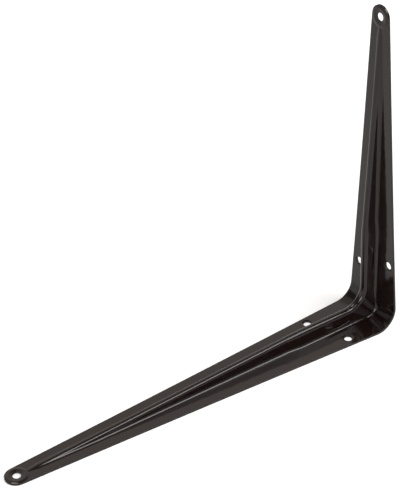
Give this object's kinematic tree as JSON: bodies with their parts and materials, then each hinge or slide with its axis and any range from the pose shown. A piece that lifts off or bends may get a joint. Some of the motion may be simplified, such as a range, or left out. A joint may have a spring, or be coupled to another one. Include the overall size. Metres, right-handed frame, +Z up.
{
  "type": "shelf bracket",
  "caption": "L-shaped pressed steel shelf bracket with tapered round-ended arms, a stiffening bead round the inside of the bend, and sunk screw holes at the tips and the corner.",
  "frame": {"origin": "middle of the flat outer face of the long arm, which is the base of the bracket's box", "axes": "+X along the long arm from the corner to its round tip, +Z up along the short arm, Y across the width"},
  "size_m": [0.25, 0.0394, 0.2],
  "materials": {
    "shelf_bracket": "high-gloss black-brown stoved enamel"
  },
  "bodies": {
    "root": {"shelf_bracket": "shelf_bracket"}
  },
  "joints": []
}
